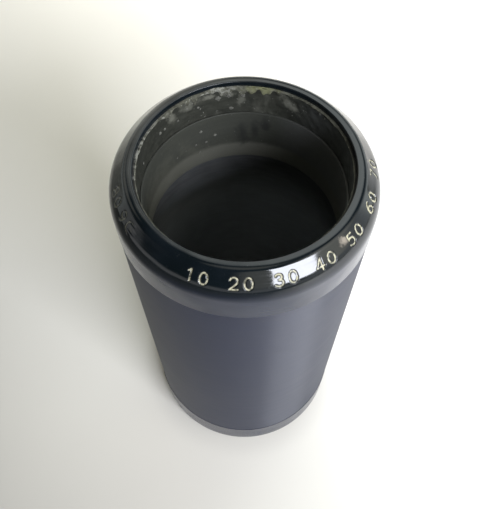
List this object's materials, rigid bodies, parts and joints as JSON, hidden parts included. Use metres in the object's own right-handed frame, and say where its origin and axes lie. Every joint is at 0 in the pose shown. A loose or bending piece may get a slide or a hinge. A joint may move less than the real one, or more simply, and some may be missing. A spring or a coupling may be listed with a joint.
{
  "type": "phonograph cylinder",
  "caption": "Hollow celluloid phonograph record with a bevelled title rim, lined by a fibre core and straight end rings that ride on a tapered mandrel.",
  "frame": {"origin": "centre of the plain end, on the surface that the record stands on", "axes": "+Z along the axis from the plain end to the title end; X and Y are free, because every solid is round"},
  "size_m": [0.0556, 0.0556, 0.108],
  "materials": {
    "celluloid": "polished on the rim and the smooth bands, satin where the fine grooves run",
    "core_fibre": "dark matt pressed fibre",
    "collar_fibre": "aged olive-grey fibre with pale specks and smears",
    "ring_metal": "dull tarnished grey with dark stains",
    "cement": "dry chalky crust"
  },
  "bodies": {
    "root": {"record_sleeve": "celluloid", "core_tube": "core_fibre", "title_end_collar": "collar_fibre", "title_end_ring": "ring_metal", "plain_end_ring": "ring_metal", "rim_cement": "cement"}
  },
  "joints": []
}
